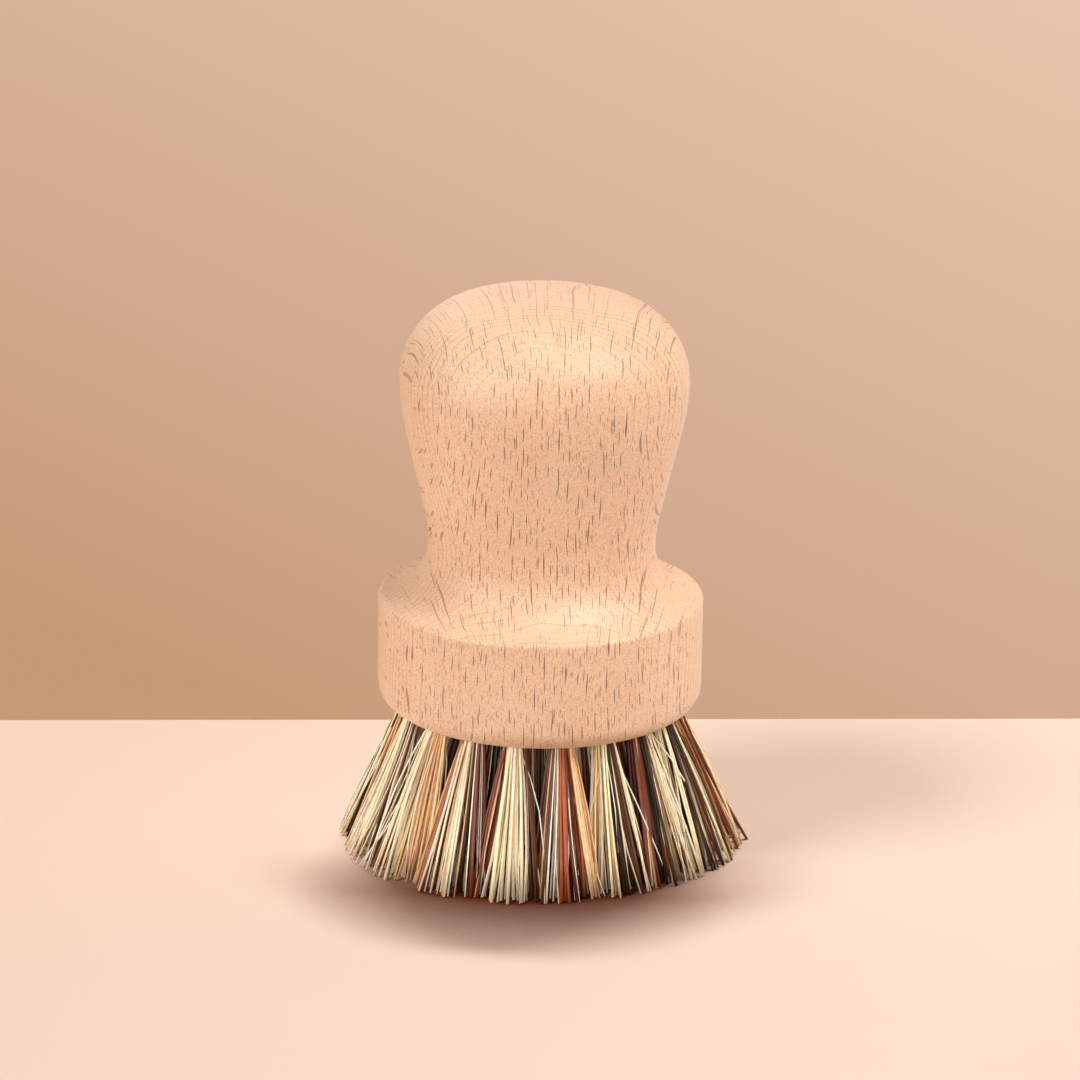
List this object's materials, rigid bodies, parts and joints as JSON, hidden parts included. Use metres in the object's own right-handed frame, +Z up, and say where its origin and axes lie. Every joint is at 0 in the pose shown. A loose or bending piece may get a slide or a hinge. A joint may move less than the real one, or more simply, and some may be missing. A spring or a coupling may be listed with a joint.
{
  "type": "palm brush",
  "caption": "Round palm brush with a turned beech disc, waist and knob handle and fanned plant-fibre tufts trimmed flat.",
  "frame": {"origin": "centre of the flat where the trimmed bristle tips stand", "axes": "+Z up along the turning axis through the knob, -Y towards the viewer of the picture, +X to the right"},
  "size_m": [0.0684, 0.068, 0.0964],
  "materials": {
    "beech": "turned and sanded, unfinished",
    "anchor_steel": "cut from flat wire",
    "fibre_pale": "stiff pale plant fibre",
    "fibre_russet": "stiff reddish brown plant fibre",
    "fibre_dark": "stiff dark brown plant fibre"
  },
  "bodies": {
    "root": {"handle_block": "beech", "tuft_anchors": "anchor_steel", "tuft_centre": "fibre_dark", "tuft_inner_1": "fibre_pale", "tuft_inner_2": "fibre_dark", "tuft_inner_3": "fibre_russet", "tuft_inner_4": "fibre_pale", "tuft_inner_5": "fibre_dark", "tuft_inner_6": "fibre_russet", "tuft_middle_1": "fibre_dark", "tuft_middle_2": "fibre_pale", "tuft_middle_3": "fibre_russet", "tuft_middle_4": "fibre_dark", "tuft_middle_5": "fibre_pale", "tuft_middle_6": "fibre_russet", "tuft_middle_7": "fibre_dark", "tuft_middle_8": "fibre_pale", "tuft_middle_9": "fibre_russet", "tuft_middle_10": "fibre_pale", "tuft_middle_11": "fibre_dark", "tuft_middle_12": "fibre_russet", "tuft_outer_1": "fibre_dark", "tuft_outer_2": "fibre_pale", "tuft_outer_3": "fibre_russet", "tuft_outer_4": "fibre_dark", "tuft_outer_5": "fibre_pale", "tuft_outer_6": "fibre_russet", "tuft_outer_7": "fibre_dark", "tuft_outer_8": "fibre_pale", "tuft_outer_9": "fibre_russet", "tuft_outer_10": "fibre_dark", "tuft_outer_11": "fibre_pale", "tuft_outer_12": "fibre_russet", "tuft_outer_13": "fibre_dark", "tuft_outer_14": "fibre_pale", "tuft_outer_15": "fibre_russet", "tuft_outer_16": "fibre_pale", "tuft_outer_17": "fibre_dark", "tuft_outer_18": "fibre_pale"}
  },
  "joints": []
}
